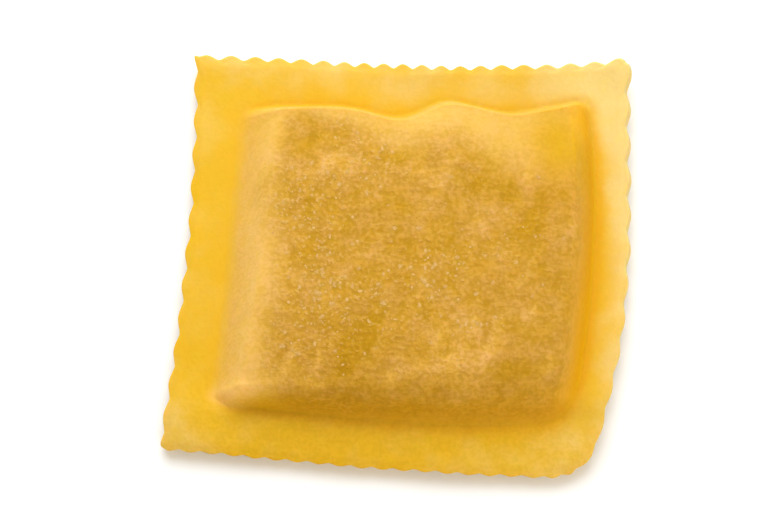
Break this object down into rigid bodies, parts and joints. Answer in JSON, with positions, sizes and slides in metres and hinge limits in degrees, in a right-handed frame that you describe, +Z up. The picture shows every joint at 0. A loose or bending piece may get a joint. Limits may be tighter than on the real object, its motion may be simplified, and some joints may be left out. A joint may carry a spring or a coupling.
{
  "type": "ravioli",
  "caption": "Square of raw filled egg pasta with a fluted cut edge and a raised pillow of filling, lying flat on its underside.",
  "frame": {"origin": "on the resting surface, under the middle of the piece's bounding box", "axes": "+Z up through the pillow, +X along the piece's longer side, +Y towards the edge that is furthest from the viewer"},
  "size_m": [0.051, 0.0466, 0.0087],
  "materials": {
    "egg_dough": "matte, floury fresh egg pasta"
  },
  "bodies": {
    "root": {"ravioli": "egg_dough"}
  },
  "joints": []
}
